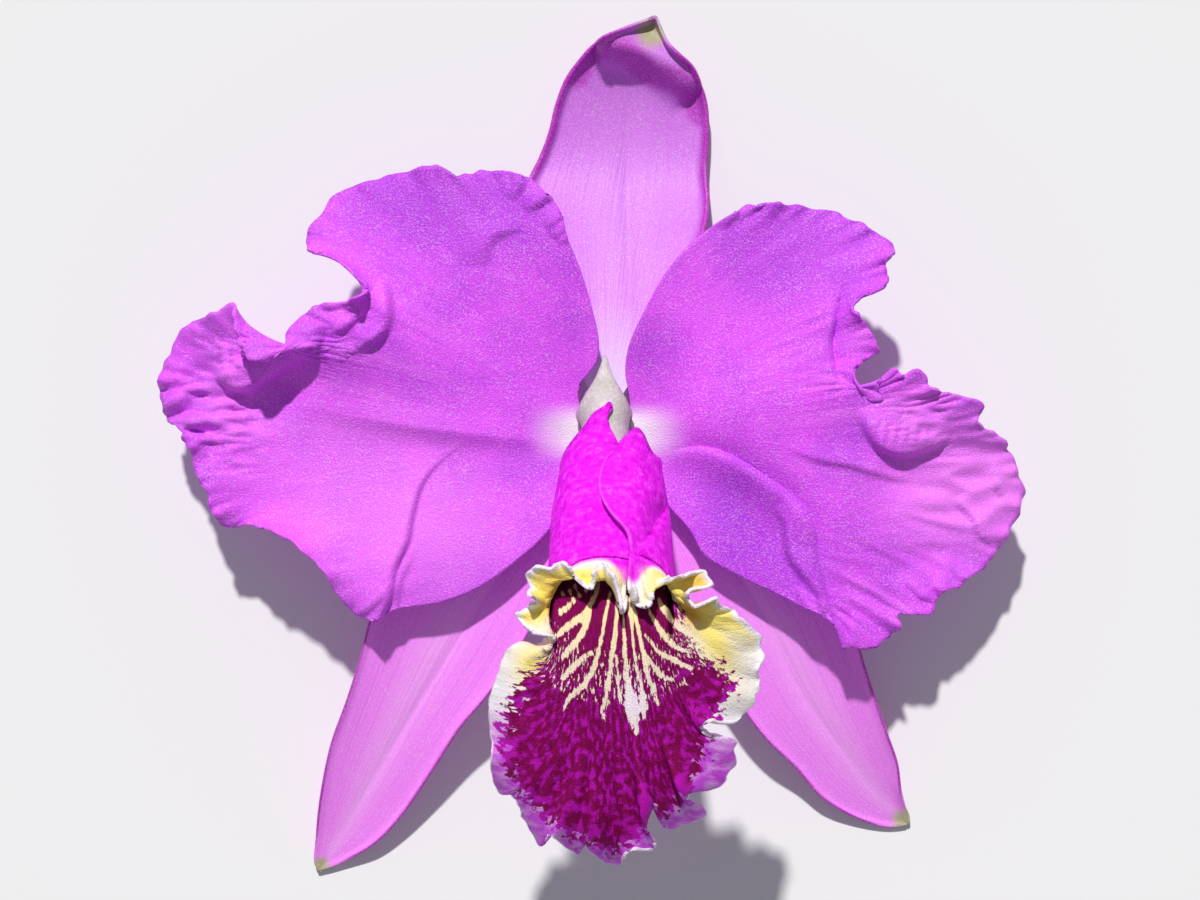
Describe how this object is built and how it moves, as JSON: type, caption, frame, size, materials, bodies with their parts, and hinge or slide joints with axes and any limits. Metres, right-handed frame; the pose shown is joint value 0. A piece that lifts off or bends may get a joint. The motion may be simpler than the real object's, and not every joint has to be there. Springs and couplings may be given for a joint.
{
  "type": "orchid bloom",
  "caption": "Cattleya orchid bloom, picked: ruffled petals, narrow sepals, a frilled tubular lip and a bent stalk, lying face up.",
  "frame": {"origin": "centre of the bloom's footprint, on the surface it lies on", "axes": "+Z out of the bloom's face, away from the surface; +Y toward the tip of the upper sepal; +X toward the bloom's right-hand petal as seen from above"},
  "size_m": [0.1812, 0.1834, 0.0707],
  "materials": {
    "petal": "thin crystalline-velvety petal, bright purple",
    "sepal": "thin satin sepal, lilac-purple, paler along its middle",
    "lip": "velvety magenta with a dark crimson front, cream veins and a yellow throat",
    "column": "waxy grey-white",
    "anther_cap": "waxy ivory",
    "stalk": "waxy green, ribbed"
  },
  "bodies": {
    "root": {"petal_left": "petal", "petal_right": "petal", "dorsal_sepal": "sepal", "sepal_left": "sepal", "sepal_right": "sepal", "lip": "lip", "column": "column", "anther_cap": "anther_cap", "ovary_pedicel": "stalk"}
  },
  "joints": []
}
